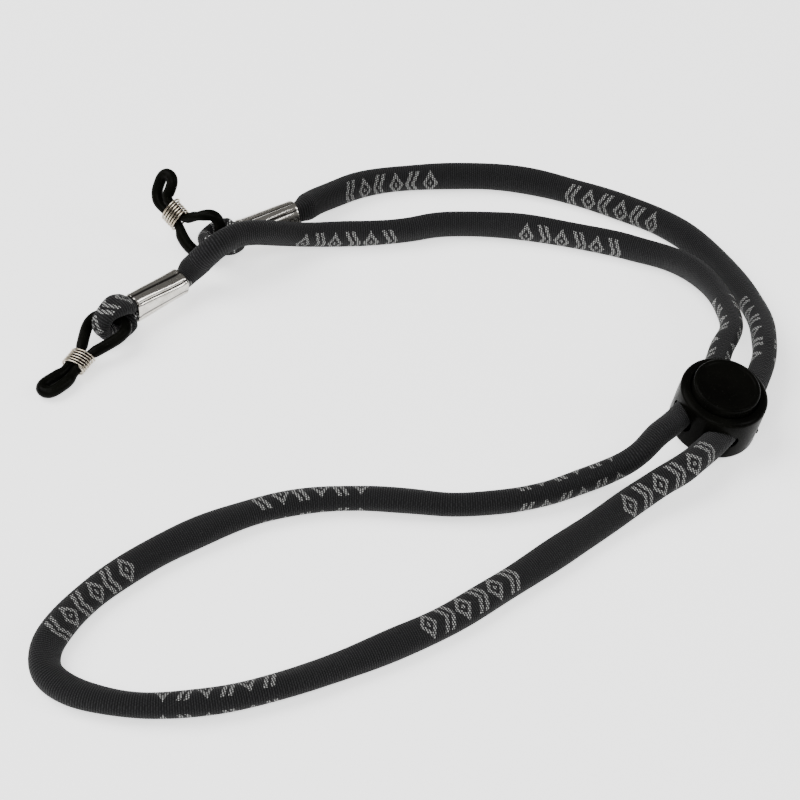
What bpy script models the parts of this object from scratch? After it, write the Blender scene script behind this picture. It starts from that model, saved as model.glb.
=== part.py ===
"""Eyeglass retainer strap: a soft woven cord that runs from one temple loop to the other through a
two-hole cord lock, lying on a table.  Metres, +Z up, table top at z = 0.

Each cord end is turned back on itself as an eye and held in a crimped metal ferrule.  A rubber ring
is threaded through each eye and pinched at its waist by a coil of wire, which leaves the temple loop
that grips the arm of the glasses.  The cord lock is a cup, a spring and a button with a forked shank.
"""
import math

import bmesh
import bpy
from mathutils import Matrix, Vector

MM = 0.001
GAP = 0.0003                 # clearance between neighbouring solids
ORIGIN_SHIFT = (-0.8, 0.9, 0.0)    # mm, brings the hard parts to the middle of the frame

# --- cord -------------------------------------------------------------------------------------
CORD_RADIUS = 2.75 * MM
CORD_RADIUS_IN_LOCK = 2.45 * MM
CORD_RADIUS_IN_FERRULE = 1.55 * MM
CORD_STEP = 7.6 * MM         # spacing of the points along the finished curve
CORD_IN_FERRULE = 4.0 * MM   # length of cord hidden in the ferrule's mouth

# --- cord lock (lengths along its own axis are measured from its base) ---------------------------
LOCK_PLACE = (64.7, -27.9, 1.70)   # centre of the base, mm
LOCK_TILT_RIGHT = 10.0       # degrees, towards +X
LOCK_TILT_FORWARD = 7.0      # degrees, towards -Y
LOCK_HEADING = 60.4          # degrees, azimuth of the holes, looking backwards
LOCK_RADIUS = 9.0 * MM
LOCK_RIM_HEIGHT = 10.2 * MM  # height of the widest edge
LOCK_SHOULDER = 0.9 * MM     # rise of the rounded shoulder inside that edge
LOCK_BASE_ROUND = 1.2 * MM
LOCK_BASE_FLAT = 7.8 * MM    # radius of the flat underside
LOCK_FLOOR = 0.8 * MM
LOCK_BORE = 7.15 * MM
HOLE_OFFSET = 4.4 * MM       # from the lock's axis to the middle of each hole
HOLE_HEIGHT = 5.85 * MM      # middle of the holes above the base
HOLE_HALF_WIDTH = 3.1 * MM
HOLE_HALF_HEIGHT = 2.75 * MM
BEND_RADIUS = 62.0 * MM      # the two strands bend about one centre where the lock slides
ARC_HALF = 15.0              # degrees of bend kept on each side of the lock

# --- button ---------------------------------------------------------------------------------------
BUTTON_RADIUS = 6.85 * MM
BUTTON_TOP = 13.0 * MM
BUTTON_ROUND = 0.8 * MM
BUTTON_TRAVEL = 1.6 * MM
BUTTON_BOTTOM = 2.5 * MM
BAR_THICKNESS = 0.6 * MM     # bar of the shank below the cords
BOSS_RADIUS = 1.6 * MM
SPRING_BORE = 1.15 * MM
SPRING_SEAT = 9.6 * MM       # top of the bore that holds the spring
SPRING_RADIUS = 0.8 * MM
SPRING_WIRE = 0.15 * MM
SPRING_TURNS = 9

# --- ferrule, eye of the cord ------------------------------------------------------------------------
FERRULE_LENGTH = 13.1 * MM
FERRULE_WALL = 0.35 * MM
FERRULE_EYE_END = (2.45 * MM, 3.3 * MM)      # half width, half height outside
FERRULE_CORD_END = (2.85 * MM, 2.5 * MM)
EYE_THICKNESS = 2.6 * MM
EYE_HALF_WIDTH = 3.0 * MM
EYE_HALF_WIDTH_AT_TIP = 1.7 * MM
EYE_THICKNESS_IN_FERRULE = 2.1 * MM
EYE_HALF_WIDTH_IN_FERRULE = 1.6 * MM
EYE_LEG = 1.35 * MM          # half distance between the legs in the ferrule
EYE_HALF_HEIGHT = 3.2 * MM   # of the centre line
EYE_REACH = 8.4 * MM         # of the centre line beyond the ferrule
EYE_IN_FERRULE = 5.0 * MM

# --- rubber ring and wire coil ---------------------------------------------------------------------
RUBBER_RADIUS = 1.25 * MM
WAIST_RADIUS = 1.0 * MM
WAIST_HALF = 1.12 * MM       # half distance between the limbs in the coil
TEMPLE_HALF = 1.55 * MM      # half distance between the limbs of the temple loop
COIL_LENGTH = 4.5 * MM
COIL_TRAVEL = 1.0 * MM
COIL_TURNS = 6
COIL_WIRE = 0.28 * MM
COIL_HALF_WIDTH = 2.68 * MM
COIL_HALF_HEIGHT = 1.6 * MM
TEMPLE_REACH = 8.1 * MM      # temple loop's centre line beyond the coil
HUMP_MIDDLE = 0.64           # where one limb humps outwards, as a share of the lobe's reach
HUMP_HALF = 0.22             # half length of the hump, as a share of the lobe's reach

# Each end: middle of the ferrule's eye end (mm), azimuth of the ferrule, roll of the eye's plane,
# where the middle of the rubber crosses the eye (out of the ferrule, along the hole, mm), azimuth,
# slope and roll of the rubber, reach and half width of its lobe (mm), height of the hump in its
# left limb, and its bends: (start, length, rise, swing) along it, the rise in the ring's own plane.
END_A = dict(place=(-54.5, 0.6, 4.85), azimuth=-136.0, roll=0.0, hole=(4.5, -0.2),
             rubber_azimuth=-121.0, rubber_slope=-9.3, rubber_roll=5.0, lobe=11.0, lobe_half=4.25,
             hump=0.0, bends=((16.5, 3.0, -15.0, -6.5),))
END_B = dict(place=(-33.15, 25.0, 5.75), azimuth=-150.0, roll=110.0, hole=(4.85, 0.4),
             rubber_azimuth=175.7, rubber_slope=2.9, rubber_roll=108.6, lobe=9.3, lobe_half=4.8,
             hump=1.0, bends=((3.4, 4.6, 30.5, -31.0), (14.8, 3.2, 70.0, -8.0)))

# --- route of the cord, mm -------------------------------------------------------------------------
# From ferrule A to the lock, round the neck loop, and from the lock back to ferrule B.
ROUTE_A = [(-42.5, 12.7, 6.5), (-40.5, 13.3, 8.5), (-37.8, 14.3, 10.3), (-34.6, 16.6, 11.0),
           (-31.6, 18.6, 10.7), (-27.8, 20.9, 9.2), (-23.4, 23.9, 6.5), (-18.8, 26.2, 4.3),
           (-13.8, 27.7, 3.0),
           (-6.0, 28.4, 2.8), (3.0, 30.0, 2.8), (9.0, 31.7, 2.8), (16.0, 32.3, 2.8),
           (24.0, 31.9, 2.8), (33.0, 30.4, 2.8), (42.0, 28.2, 2.8), (51.0, 25.3, 2.8),
           (58.7, 21.6, 3.3), (63.8, 16.4, 4.4), (67.5, 9.4, 5.8), (69.4, 1.6, 7.3),
           (69.9, -6.1, 8.5)]
ROUTE_LOOP = [(48.8, -42.5, 7.2), (43.6, -44.7, 5.0), (37.0, -46.9, 3.3), (30.4, -49.6, 2.8),
              (23.6, -51.6, 2.8), (13.0, -52.8, 2.8), (4.0, -52.1, 2.8), (-5.0, -51.5, 2.8),
              (-14.0, -52.0, 2.8), (-23.0, -54.2, 2.8), (-32.0, -58.4, 2.8), (-41.5, -64.7, 2.8),
              (-49.3, -71.3, 2.8), (-55.8, -78.2, 2.8), (-60.6, -85.6, 2.8), (-63.0, -92.2, 2.8),
              (-62.2, -97.6, 2.8), (-58.2, -101.4, 2.8), (-51.6, -104.0, 2.8), (-43.0, -105.2, 2.8),
              (-31.0, -103.8, 2.8), (-19.0, -99.8, 2.8), (-9.4, -95.2, 2.8), (1.1, -89.5, 2.8),
              (11.5, -82.9, 2.8), (21.4, -74.7, 2.8), (31.5, -66.0, 2.8), (41.4, -57.2, 3.0),
              (48.0, -51.8, 4.2), (53.2, -48.3, 5.7)]
ROUTE_B = [(76.6, -8.3, 7.1), (76.5, -1.6, 6.2), (75.0, 6.2, 4.9), (72.3, 14.4, 3.7),
           (68.6, 22.1, 3.0), (63.8, 28.5, 2.8), (57.6, 34.2, 2.8), (49.6, 38.9, 2.8),
           (41.6, 43.0, 2.8), (32.3, 46.5, 2.8), (22.0, 48.6, 2.8), (11.0, 48.5, 2.8),
           (2.0, 47.7, 2.8), (-2.9, 46.7, 2.8), (-8.6, 44.5, 2.9), (-13.9, 40.5, 3.5),
           (-17.6, 36.9, 4.4)]


# ---------------------------------------------------------------------------------------------------
# helpers

def clear_scene():
    for item in list(bpy.data.objects):
        bpy.data.objects.remove(item, do_unlink=True)


def principled(name, colour, roughness, metallic=0.0):
    material = bpy.data.materials.new(name)
    material.use_nodes = True
    shader = material.node_tree.nodes["Principled BSDF"]
    shader.inputs["Base Color"].default_value = (*colour, 1.0)
    shader.inputs["Roughness"].default_value = roughness
    shader.inputs["Metallic"].default_value = metallic
    return material


def add_object(name, data, material, matrix=None, parent=None):
    item = bpy.data.objects.new(name, data)
    bpy.context.scene.collection.objects.link(item)
    if item.type in {"MESH", "CURVE"}:
        data.materials.append(material)
    if parent is not None:
        item.parent = parent
    if matrix is not None:
        item.matrix_local = matrix
    return item


def add_pivot(name, matrix):
    empty = bpy.data.objects.new(name, None)
    empty.empty_display_size = 0.005
    bpy.context.scene.collection.objects.link(empty)
    empty.matrix_world = matrix
    return empty


def finish_mesh(name, build, sharp_angle=40.0):
    """Closes the bmesh into a mesh with outward faces, shaded smooth up to the sharp angle."""
    bmesh.ops.recalc_face_normals(build, faces=build.faces)
    mesh = bpy.data.meshes.new(name)
    build.to_mesh(mesh)
    build.free()
    mesh.shade_smooth()
    mesh.set_sharp_from_angle(angle=math.radians(sharp_angle))
    return mesh


def circle(radius, sides):
    return [(radius * math.cos(math.tau * k / sides), radius * math.sin(math.tau * k / sides))
            for k in range(sides)]


def rounded_box(half_u, half_v, sides, power=3.2):
    """A superellipse: a box section with soft corners."""
    points = []
    for k in range(sides):
        angle = math.tau * (k + 0.5) / sides
        cosine, sine = math.cos(angle), math.sin(angle)
        points.append((half_u * math.copysign(abs(cosine) ** (2 / power), cosine),
                       half_v * math.copysign(abs(sine) ** (2 / power), sine)))
    return points


def sweep(build, centres, sections, reference, closed=False):
    """Skins the sections, lists of (u, v), along the centres.  v lies along the reference vector as
    nearly as the path lets it."""
    count = len(centres)
    rings = []
    for i, centre in enumerate(centres):
        before = centres[(i - 1) % count] if closed or i > 0 else centre
        after = centres[(i + 1) % count] if closed or i < count - 1 else centre
        tangent = (after - before).normalized()
        v_axis = (reference - tangent * reference.dot(tangent)).normalized()
        u_axis = v_axis.cross(tangent)
        rings.append([build.verts.new(centre + u_axis * u + v_axis * v) for u, v in sections[i]])
    for i in range(count if closed else count - 1):
        first, second = rings[i], rings[(i + 1) % count]
        for k in range(len(first)):
            m = (k + 1) % len(first)
            build.faces.new((first[k], first[m], second[m], second[k]))
    if not closed:
        build.faces.new(list(reversed(rings[0])))
        build.faces.new(rings[-1])
    return rings


def smooth_curve(points, per_span=8):
    """A dense centripetal Catmull-Rom curve through the points."""
    padded = [points[0] * 2 - points[1]] + list(points) + [points[-1] * 2 - points[-2]]
    dense = []
    for i in range(1, len(padded) - 2):
        p0, p1, p2, p3 = padded[i - 1:i + 3]
        t0 = 0.0
        t1 = t0 + (p1 - p0).length ** 0.5
        t2 = t1 + (p2 - p1).length ** 0.5
        t3 = t2 + (p3 - p2).length ** 0.5
        for k in range(per_span):
            t = t1 + (t2 - t1) * k / per_span
            a1 = p0 * ((t1 - t) / (t1 - t0)) + p1 * ((t - t0) / (t1 - t0))
            a2 = p1 * ((t2 - t) / (t2 - t1)) + p2 * ((t - t1) / (t2 - t1))
            a3 = p2 * ((t3 - t) / (t3 - t2)) + p3 * ((t - t2) / (t3 - t2))
            b1 = a1 * ((t2 - t) / (t2 - t0)) + a2 * ((t - t0) / (t2 - t0))
            b2 = a2 * ((t3 - t) / (t3 - t1)) + a3 * ((t - t1) / (t3 - t1))
            dense.append(b1 * ((t2 - t) / (t2 - t1)) + b2 * ((t - t1) / (t2 - t1)))
    dense.append(points[-1].copy())
    return dense


def evenly(dense, step):
    """Points at an even spacing of about step along a dense curve, both ends included."""
    lengths = [0.0]
    for a, b in zip(dense, dense[1:]):
        lengths.append(lengths[-1] + (b - a).length)
    count = max(2, round(lengths[-1] / step))
    points = []
    i = 0
    for k in range(count + 1):
        target = lengths[-1] * k / count
        while i < len(dense) - 2 and lengths[i + 1] < target:
            i += 1
        share = (target - lengths[i]) / (lengths[i + 1] - lengths[i])
        points.append(dense[i].lerp(dense[i + 1], share))
    return points


def in_metres(points):
    return [(Vector(p) + Vector(ORIGIN_SHIFT)) * MM for p in points]


def heading(azimuth, slope=0.0, roll=0.0):
    """Turns +X to the azimuth and slope (degrees), after a roll about it."""
    return (Matrix.Rotation(math.radians(azimuth), 4, "Z")
            @ Matrix.Rotation(math.radians(-slope), 4, "Y")
            @ Matrix.Rotation(math.radians(roll), 4, "X"))


# ---------------------------------------------------------------------------------------------------
# frames

def lock_frame():
    """X across the holes, Y backwards along them, Z up the lock's axis, origin at its base."""
    axis = Vector((math.tan(math.radians(LOCK_TILT_RIGHT)),
                   -math.tan(math.radians(LOCK_TILT_FORWARD)), 1.0)).normalized()
    azimuth = math.radians(LOCK_HEADING)
    back = Vector((math.cos(azimuth), math.sin(azimuth), 0.0))
    back = (back - axis * back.dot(axis)).normalized()
    across = back.cross(axis)
    turn = Matrix((across, back, axis)).transposed().to_4x4()
    return Matrix.Translation(in_metres([LOCK_PLACE])[0]) @ turn


def end_frame(end):
    """X out of the ferrule towards the temple loop, Y along the eye's hole."""
    return Matrix.Translation(in_metres([end["place"]])[0]) @ heading(end["azimuth"], 0, end["roll"])


def eye_pivot(end):
    """Where the middle of the rubber crosses the hole of the eye."""
    reach, along = end["hole"]
    return end_frame(end) @ Vector((reach * MM, along * MM, 0))


def rubber_frame(end):
    """Origin where the rubber passes through the eye, X towards the coil."""
    pivot = eye_pivot(end)
    turn = heading(end["rubber_azimuth"], end["rubber_slope"], end["rubber_roll"])
    return Matrix.Translation(pivot) @ turn


def spine(reach, bends):
    """The frame at a distance along a strip that starts along X and turns at each bend."""
    place = Matrix.Identity(4)
    reached = 0.0
    steps = 8
    for start, length, rise, swing in bends:
        start, length = start * MM, length * MM
        if reach <= start:
            break
        share = min(1.0, (reach - start) / length) / steps
        small = (Matrix.Translation((length * share, 0, 0))
                 @ Matrix.Rotation(math.radians(rise) * share, 4, "Z")
                 @ Matrix.Rotation(math.radians(swing) * share, 4, "Y"))
        place = place @ Matrix.Translation((start - reached, 0, 0))
        for _ in range(steps):
            place = place @ small
        reached = start + length * share * steps
    return place @ Matrix.Translation((reach - reached, 0, 0))


def bent(point, bends):
    return spine(point.x, bends) @ Vector((0, point.y, point.z))


# ---------------------------------------------------------------------------------------------------
# cord lock

def strand_arc(side, half_angle, steps, height=HOLE_HEIGHT):
    """The bend of one strand through the lock in the lock's frame, back end first.
    side is -1 for the strand from ferrule A and 1 for the one from ferrule B."""
    radius = BEND_RADIUS + side * HOLE_OFFSET
    points = []
    for k in range(steps + 1):
        angle = math.radians(half_angle * (1 - 2 * k / steps))
        points.append(Vector((radius * math.cos(angle) - BEND_RADIUS, radius * math.sin(angle), height)))
    return points


def channel_cutter(name, side, half_height, middle, frame):
    """A stadium-shaped bar along a strand's bend."""
    sides = 8
    flat = max(half_height - HOLE_HALF_HEIGHT, 0.0)
    section = []
    for k in range(2 * sides):
        angle = math.pi * k / sides
        lift = flat if math.sin(angle) >= 0 else -flat
        section.append((HOLE_HALF_WIDTH * math.cos(angle), HOLE_HALF_HEIGHT * math.sin(angle) + lift))
    build = bmesh.new()
    centres = strand_arc(side, 12.0, 8, middle)
    sweep(build, centres, [section] * len(centres), Vector((0, 0, 1)))
    cutter = bpy.data.objects.new(name, finish_mesh(name, build))
    bpy.context.scene.collection.objects.link(cutter)
    cutter.matrix_world = frame
    cutter.hide_render = True
    cutter.display_type = "WIRE"
    return cutter


def lathe(build, profile, segments):
    """Turns a closed outline of (radius, height) points about Z; radius 0 makes a pole."""
    rings = []
    for radius, height in profile:
        if radius < 1e-9:
            rings.append([build.verts.new((0, 0, height))])
            continue
        rings.append([build.verts.new((radius * math.cos(math.tau * k / segments),
                                       radius * math.sin(math.tau * k / segments), height))
                      for k in range(segments)])
    for first, second in zip(rings, rings[1:]):
        for k in range(segments):
            m = (k + 1) % segments
            if len(first) == 1:
                build.faces.new((first[0], second[m], second[k]))
            elif len(second) == 1:
                build.faces.new((first[k], first[m], second[0]))
            else:
                build.faces.new((first[k], first[m], second[m], second[k]))


def arc_points(centre_r, centre_h, radius_r, radius_h, start, stop, steps):
    """Points of an elliptical arc in a turned outline, angles in degrees."""
    return [(centre_r + radius_r * math.cos(math.radians(start + (stop - start) * k / steps)),
             centre_h + radius_h * math.sin(math.radians(start + (stop - start) * k / steps)))
            for k in range(steps + 1)]


def cut(target, cutters):
    for number, cutter in enumerate(cutters):
        modifier = target.modifiers.new(f"cut_{number}", "BOOLEAN")
        modifier.operation = "DIFFERENCE"
        modifier.object = cutter


def make_lock_body(frame, pivot, plastic):
    profile = [(0.0, 0.0)]
    profile += arc_points(LOCK_BASE_FLAT, LOCK_BASE_ROUND, LOCK_RADIUS - LOCK_BASE_FLAT,
                          LOCK_BASE_ROUND, -90, 0, 5)
    shoulder = LOCK_RADIUS - LOCK_BORE - 0.3 * MM
    profile += arc_points(LOCK_RADIUS - shoulder, LOCK_RIM_HEIGHT, shoulder, LOCK_SHOULDER, 0, 90, 6)
    profile += [(LOCK_BORE, LOCK_RIM_HEIGHT + LOCK_SHOULDER - 0.15 * MM), (LOCK_BORE, LOCK_FLOOR),
                (0.0, LOCK_FLOOR)]
    build = bmesh.new()
    lathe(build, profile, 44)
    body = add_object("lock_body", finish_mesh("lock_body", build, 35), plastic,
                      pivot.matrix_world.inverted() @ frame, pivot)
    cut(body, [channel_cutter(f"hole_cutter_{side:+d}", side, HOLE_HALF_HEIGHT, HOLE_HEIGHT, frame)
               for side in (-1, 1)])
    return body


def make_button(frame, pivot, plastic):
    """Round head, a slot for each cord, the bar below them, and the boss that houses the spring."""
    profile = [(0.0, BUTTON_BOTTOM), (BUTTON_RADIUS - 0.2 * MM, BUTTON_BOTTOM),
               (BUTTON_RADIUS, BUTTON_BOTTOM + 0.2 * MM)]
    profile += arc_points(BUTTON_RADIUS - BUTTON_ROUND, BUTTON_TOP - BUTTON_ROUND, BUTTON_ROUND,
                          BUTTON_ROUND, 0, 90, 5)
    profile += [(0.0, BUTTON_TOP)]
    build = bmesh.new()
    lathe(build, profile, 40)
    button = add_object("lock_button", finish_mesh("lock_button", build, 35), plastic,
                        pivot.matrix_world.inverted() @ frame, pivot)
    low = BUTTON_BOTTOM + BAR_THICKNESS
    high = HOLE_HEIGHT + HOLE_HALF_HEIGHT + BUTTON_TRAVEL
    cut(button, [channel_cutter(f"slot_cutter_{side:+d}", side, (high - low) / 2, (high + low) / 2,
                                frame) for side in (-1, 1)])
    build = bmesh.new()
    lathe(build, [(0.0, BUTTON_BOTTOM + 0.1 * MM), (BOSS_RADIUS, BUTTON_BOTTOM + 0.1 * MM),
                  (BOSS_RADIUS, BUTTON_TOP - 1.0 * MM), (0.0, BUTTON_TOP - 1.0 * MM)], 20)
    boss = bpy.data.objects.new("boss_shape", finish_mesh("boss_shape", build, 35))
    build = bmesh.new()
    lathe(build, [(0.0, 0.0), (SPRING_BORE, 0.0), (SPRING_BORE, SPRING_SEAT), (0.0, SPRING_SEAT)], 16)
    bore = bpy.data.objects.new("spring_bore_cutter", finish_mesh("spring_bore_cutter", build, 35))
    for helper in (boss, bore):
        bpy.context.scene.collection.objects.link(helper)
        helper.matrix_world = frame
        helper.hide_render = True
        helper.display_type = "WIRE"
    join = button.modifiers.new("boss", "BOOLEAN")
    join.operation = "UNION"
    join.object = boss
    cut(button, [bore])
    return button


def helix(radius_u, radius_v, start, length, turns, per_turn):
    """A helix about Z with an oval plan, its end turns closed flat."""
    points = []
    count = turns * per_turn
    for k in range(count + 1):
        angle = math.tau * k / per_turn
        points.append(Vector((radius_u * math.cos(angle), radius_v * math.sin(angle),
                              start + length * k / count)))
    return points


def make_spring(frame, pivot, steel):
    start = LOCK_FLOOR + GAP + SPRING_WIRE
    stop = SPRING_SEAT - GAP - SPRING_WIRE
    centres = helix(SPRING_RADIUS, SPRING_RADIUS, start, stop - start, SPRING_TURNS, 10)
    build = bmesh.new()
    sweep(build, centres, [circle(SPRING_WIRE, 5)] * len(centres), Vector((0, 0, 1)))
    return add_object("lock_spring", finish_mesh("lock_spring", build, 60), steel,
                      pivot.matrix_world.inverted() @ frame, pivot)


# ---------------------------------------------------------------------------------------------------
# ends of the strap

def make_ferrule(name, end, metal):
    """A crimped tube: round at the cord's end, pressed to an upright oval at the eye's end."""
    steps = 6
    build = bmesh.new()
    outer, inner = [], []
    for k in range(steps + 1):
        share = k / steps
        blend = share * share * (3 - 2 * share)
        half_u = FERRULE_EYE_END[0] + (FERRULE_CORD_END[0] - FERRULE_EYE_END[0]) * blend
        half_v = FERRULE_EYE_END[1] + (FERRULE_CORD_END[1] - FERRULE_EYE_END[1]) * blend
        place = -FERRULE_LENGTH * share
        for rings, inset in ((outer, 0.0), (inner, FERRULE_WALL)):
            section = rounded_box(half_u - inset, half_v - inset, 22, 2.6)
            rings.append([build.verts.new((place, u, v)) for u, v in section])
    for rings in (outer, inner):
        for first, second in zip(rings, rings[1:]):
            for a, b, c, d in zip(first, first[1:] + first[:1], second[1:] + second[:1], second):
                build.faces.new((a, b, c, d))
    for first, second in ((outer[0], inner[0]), (outer[-1], inner[-1])):
        for a, b, c, d in zip(first, first[1:] + first[:1], second[1:] + second[:1], second):
            build.faces.new((a, b, c, d))
    return add_object(name, finish_mesh(name, build, 50), metal, end_frame(end))


def eye_outline():
    """Centre line of the eye in the XZ plane, from inside the ferrule round and back."""
    half = [(-EYE_IN_FERRULE, EYE_LEG), (-0.6 * MM, EYE_LEG), (0.5 * MM, 1.3 * EYE_LEG),
            (0.20 * EYE_REACH, 0.78 * EYE_HALF_HEIGHT), (0.46 * EYE_REACH, EYE_HALF_HEIGHT),
            (0.78 * EYE_REACH, 0.86 * EYE_HALF_HEIGHT), (0.96 * EYE_REACH, 0.45 * EYE_HALF_HEIGHT)]
    points = [Vector((x, 0, z)) for x, z in half] + [Vector((EYE_REACH, 0, 0))]
    points += [Vector((x, 0, -z)) for x, z in reversed(half)]
    return evenly(smooth_curve(points), 1.1 * MM)


def make_eye(name, end, fabric):
    """The cord's end turned back on itself: a soft band, narrow where the ferrule grips it."""
    centres = eye_outline()
    sections = []
    for centre in centres:
        share = min(max((centre.x - 0.4 * MM) / (0.2 * EYE_REACH), 0.0), 1.0)
        half = EYE_HALF_WIDTH_IN_FERRULE + (EYE_HALF_WIDTH - EYE_HALF_WIDTH_IN_FERRULE) * share
        tip = min(max((centre.x / EYE_REACH - 0.45) / 0.45, 0.0), 1.0)
        half -= (EYE_HALF_WIDTH - EYE_HALF_WIDTH_AT_TIP) * tip
        thick = EYE_THICKNESS_IN_FERRULE + (EYE_THICKNESS - EYE_THICKNESS_IN_FERRULE) * share
        sections.append(rounded_box(thick / 2, half, 12, 2.8))
    build = bmesh.new()
    sweep(build, centres, sections, Vector((0, 1, 0)))
    return add_object(name, finish_mesh(name, build, 60), fabric, end_frame(end))


def ring_outline(lobe, lobe_half, hump):
    """Centre line of the pinched rubber ring in the XY plane, and its radius at each point.
    It passes through the eye at x = 0, meets at the coil, and ends in the temple loop."""
    coil_end = lobe + COIL_LENGTH + COIL_TRAVEL
    tip = lobe + COIL_LENGTH + TEMPLE_REACH
    half = [(0.1 * MM, 0.46 * lobe_half), (0.7 * MM, 0.8 * lobe_half),
            (0.19 * lobe, lobe_half), (0.38 * lobe, 0.97 * lobe_half),
            (0.62 * lobe, 0.72 * lobe_half), (0.82 * lobe, 0.47 * lobe_half),
            (0.96 * lobe, WAIST_HALF + 0.2 * MM), (lobe + 0.3 * MM, WAIST_HALF),
            (lobe + 0.5 * COIL_LENGTH, WAIST_HALF), (coil_end, WAIST_HALF),
            (coil_end + 1.3 * MM, 0.9 * TEMPLE_HALF), (coil_end + 2.8 * MM, TEMPLE_HALF),
            (tip - 1.3 * MM, TEMPLE_HALF), (tip - 0.4 * MM, 0.7 * TEMPLE_HALF)]
    humps = [hump * max(0.0, 1 - ((x / lobe - HUMP_MIDDLE) / HUMP_HALF) ** 2) for x, _ in half]
    points = [Vector((0, 0, 0))] + [Vector((x, y + rise, 0)) for (x, y), rise in zip(half, humps)]
    points += [Vector((tip, 0, 0))] + [Vector((x, -y, 0)) for x, y in reversed(half)]
    points += [Vector((0, 0, 0))]
    centres = evenly(smooth_curve(points), 1.0 * MM)[:-1]
    radii = []
    for centre in centres:
        away = max(lobe - centre.x, centre.x - coil_end, 0.0)
        share = min(away / (1.5 * MM), 1.0)
        radii.append(WAIST_RADIUS + (RUBBER_RADIUS - WAIST_RADIUS) * share)
    return centres, radii


def make_rubber(name, end, pivot, rubber):
    centres, radii = ring_outline(end["lobe"] * MM, end["lobe_half"] * MM, end["hump"] * MM)
    build = bmesh.new()
    sweep(build, centres, [circle(radius, 8) for radius in radii], Vector((0, 0, 1)), closed=True)
    for vertex in build.verts:
        vertex.co = bent(vertex.co, end["bends"])
    return add_object(name, finish_mesh(name, build, 60), rubber,
                      pivot.matrix_world.inverted() @ rubber_frame(end), pivot)


def coil_frame(end):
    """Origin at the middle of the coil at rest, Z along its axis towards the temple loop."""
    middle = spine(end["lobe"] * MM + COIL_LENGTH / 2, end["bends"])
    along_z = Matrix(((0, 0, 1, 0), (1, 0, 0, 0), (0, 1, 0, 0), (0, 0, 0, 1)))
    return rubber_frame(end) @ middle @ along_z


def make_coil(name, end, metal):
    per_turn = 14
    length = COIL_LENGTH - 2 * COIL_WIRE
    centres = helix(COIL_HALF_WIDTH, COIL_HALF_HEIGHT, -length / 2, length, COIL_TURNS, per_turn)
    build = bmesh.new()
    sweep(build, centres, [circle(COIL_WIRE, 6)] * len(centres), Vector((0, 0, 1)))
    return add_object(name, finish_mesh(name, build, 60), metal, coil_frame(end))


# ---------------------------------------------------------------------------------------------------
# cord

def cord_centres(frame):
    """The whole route: ferrule A, lock, neck loop, lock, ferrule B."""
    mouth_a = end_frame(END_A) @ Vector((-FERRULE_LENGTH, 0, 0))
    mouth_b = end_frame(END_B) @ Vector((-FERRULE_LENGTH, 0, 0))
    arc_a = [frame @ p for p in strand_arc(-1, ARC_HALF, 6)]
    arc_b = [frame @ p for p in reversed(strand_arc(1, ARC_HALF, 6))]
    route = [mouth_a] + in_metres(ROUTE_A) + arc_a + in_metres(ROUTE_LOOP) + arc_b
    return route + in_metres(ROUTE_B) + [mouth_b]


def make_cord(frame, fabric):
    points = evenly(smooth_curve(cord_centres(frame), 12), CORD_STEP)
    inside = frame.inverted()
    radii = []
    for point in points:
        local = inside @ point
        away = max((local.xy.length - 0.016) / 0.006, 0.0)
        share = min(away, 1.0)
        radii.append(CORD_RADIUS_IN_LOCK + (CORD_RADIUS - CORD_RADIUS_IN_LOCK) * share)
    for at_start, end in ((True, END_A), (False, END_B)):
        base = end_frame(end)
        stub = [base @ Vector((-FERRULE_LENGTH + CORD_IN_FERRULE, 0, 0)),
                base @ Vector((-FERRULE_LENGTH - GAP, 0, 0)),
                base @ Vector((-FERRULE_LENGTH - 2.4 * MM, 0, 0))]
        thickness = [CORD_RADIUS_IN_FERRULE, CORD_RADIUS_IN_FERRULE, 0.85 * CORD_RADIUS]
        if at_start:
            points = stub + points[1:]
            radii = thickness + radii[1:]
        else:
            points = points[:-1] + stub[::-1]
            radii = radii[:-1] + thickness[::-1]
    data = bpy.data.curves.new("cord", "CURVE")
    data.dimensions = "3D"
    data.bevel_depth = CORD_RADIUS
    data.bevel_resolution = 3
    data.use_fill_caps = True
    data.render_resolution_u = 0
    spline = data.splines.new("POLY")
    spline.points.add(len(points) - 1)
    for item, point, radius in zip(spline.points, points, radii):
        item.co = (*point, 1.0)
        item.radius = radius / CORD_RADIUS
    return add_object("cord", data, fabric)


# ---------------------------------------------------------------------------------------------------

def main():
    clear_scene()
    fabric = principled("woven_cord", (0.022, 0.022, 0.023), 0.85)
    plastic = principled("black_plastic", (0.006, 0.006, 0.006), 0.3)
    rubber = principled("black_rubber", (0.008, 0.008, 0.007), 0.45)
    metal = principled("nickel", (0.72, 0.71, 0.68), 0.22, 1.0)
    wire = principled("coil_wire", (0.75, 0.70, 0.60), 0.25, 1.0)
    steel = principled("spring_steel", (0.55, 0.55, 0.56), 0.3, 1.0)

    frame = lock_frame()
    travel_centre = frame @ Vector((-BEND_RADIUS, 0, HOLE_HEIGHT))
    travel_pivot = add_pivot("lock_travel_pivot",
                             Matrix.Translation(travel_centre) @ frame.to_3x3().to_4x4())
    press_pivot = add_pivot("button_press_axis", frame)
    make_lock_body(frame, travel_pivot, plastic)
    make_button(frame, press_pivot, plastic)
    make_spring(frame, travel_pivot, steel)

    for letter, end in (("a", END_A), ("b", END_B)):
        swivel = Matrix.Translation(eye_pivot(end))
        pivot = add_pivot(f"rubber_{letter}_pivot", swivel @ end_frame(end).to_3x3().to_4x4())
        make_ferrule(f"ferrule_{letter}", end, metal)
        make_eye(f"cord_eye_{letter}", end, fabric)
        make_rubber(f"rubber_loop_{letter}", end, pivot, rubber)
        make_coil(f"wire_coil_{letter}", end, wire)

    make_cord(frame, fabric)


main()
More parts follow.
